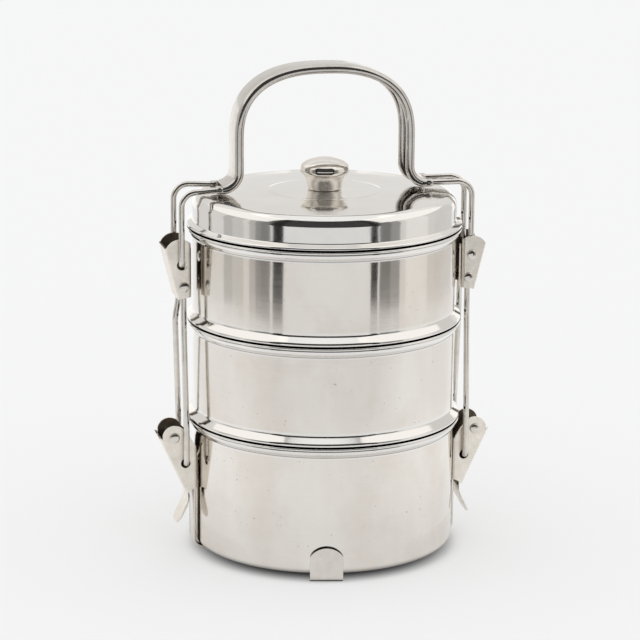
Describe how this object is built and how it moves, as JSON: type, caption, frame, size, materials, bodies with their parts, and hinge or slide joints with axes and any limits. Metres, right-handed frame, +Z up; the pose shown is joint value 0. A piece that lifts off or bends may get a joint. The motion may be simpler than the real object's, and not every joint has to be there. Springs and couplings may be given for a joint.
{
  "type": "tiffin carrier",
  "caption": "Stacking round food carrier: nested containers and a knobbed lid held in a clamp frame with over-centre levers, link wires and an arched carrying handle.",
  "frame": {"origin": "on the floor, under the axis of the stacked containers", "axes": "+Z up along the stack's axis; the clamp levers and link wires are at -X and +X; the front is at -Y"},
  "size_m": [0.1734, 0.1418, 0.2531],
  "materials": {
    "vessel_steel": "satin brushed with polished rims",
    "lid_steel": "polished",
    "strap_steel": "rolled strip",
    "wire_steel": "bright drawn wire and strip",
    "plate_steel": "satin pressed plate"
  },
  "bodies": {
    "base": {"base_strap": "strap_steel", "cross_strap": "strap_steel", "strap_rivet": "strap_steel", "lever_rivet_left": "strap_steel", "lever_rivet_right": "strap_steel"},
    "bottom_tier": {"container_bottom": "vessel_steel"},
    "middle_tier": {"container_middle": "vessel_steel"},
    "top_tier": {"container_top": "vessel_steel"},
    "lid_body": {"lid": "lid_steel", "lid_knob": "lid_steel", "knob_screw": "strap_steel"},
    "handle": {"handle_grip": "wire_steel", "handle_wire_front": "wire_steel", "handle_wire_back": "wire_steel"},
    "latch_left": {"upper_latch_left": "plate_steel"},
    "latch_right": {"upper_latch_right": "plate_steel"},
    "link_left": {"link_left_front": "wire_steel", "link_left_back": "wire_steel"},
    "link_right": {"link_right_front": "wire_steel", "link_right_back": "wire_steel"},
    "lever_left_body": {"lever_left": "plate_steel"},
    "lever_right_body": {"lever_right": "plate_steel"}
  },
  "joints": [
    {"name": "bottom_tier_lift", "type": "slide", "parent": "base", "child": "bottom_tier", "axis": [0, 0, 1], "range_m": [0, 0.075]},
    {"name": "middle_tier_lift", "type": "slide", "parent": "bottom_tier", "child": "middle_tier", "axis": [0, 0, 1], "range_m": [0, 0.06]},
    {"name": "top_tier_lift", "type": "slide", "parent": "middle_tier", "child": "top_tier", "axis": [0, 0, 1], "range_m": [0, 0.06]},
    {"name": "lid_lift", "type": "slide", "parent": "top_tier", "child": "lid_body", "axis": [0, 0, 1], "range_m": [0, 0.05]},
    {"name": "handle_lift", "type": "slide", "parent": "lid_body", "child": "handle", "axis": [0, 0, 1], "range_m": [0, 0.022]},
    {"name": "latch_left_swing", "type": "hinge", "parent": "handle", "child": "latch_left", "pos_m": [-0.0763, 0, 0.1536], "axis": [0, 1, 0], "range_deg": [0, 25]},
    {"name": "latch_right_swing", "type": "hinge", "parent": "handle", "child": "latch_right", "pos_m": [0.0763, 0, 0.1524], "axis": [0, -1, 0], "range_deg": [0, 25]},
    {"name": "link_left_fold", "type": "hinge", "parent": "latch_left", "child": "link_left", "pos_m": [-0.0747, 0, 0.1417], "axis": [0, 1, 0], "range_deg": [0, 4]},
    {"name": "link_right_fold", "type": "hinge", "parent": "latch_right", "child": "link_right", "pos_m": [0.0747, 0, 0.1405], "axis": [0, -1, 0], "range_deg": [0, 4]},
    {"name": "lever_left_throw", "type": "hinge", "parent": "base", "child": "lever_left_body", "pos_m": [-0.0799, 0, 0.0624], "axis": [0, 1, 0], "range_deg": [0, 150]},
    {"name": "lever_right_throw", "type": "hinge", "parent": "base", "child": "lever_right_body", "pos_m": [0.0799, 0, 0.0586], "axis": [0, -1, 0], "range_deg": [0, 150]}
  ],
  "couplings": [
    {"joint": "lever_left_throw", "follows": "handle_lift", "rad_per_m": 118.9},
    {"joint": "lever_right_throw", "follows": "handle_lift", "rad_per_m": 118.9}
  ]
}
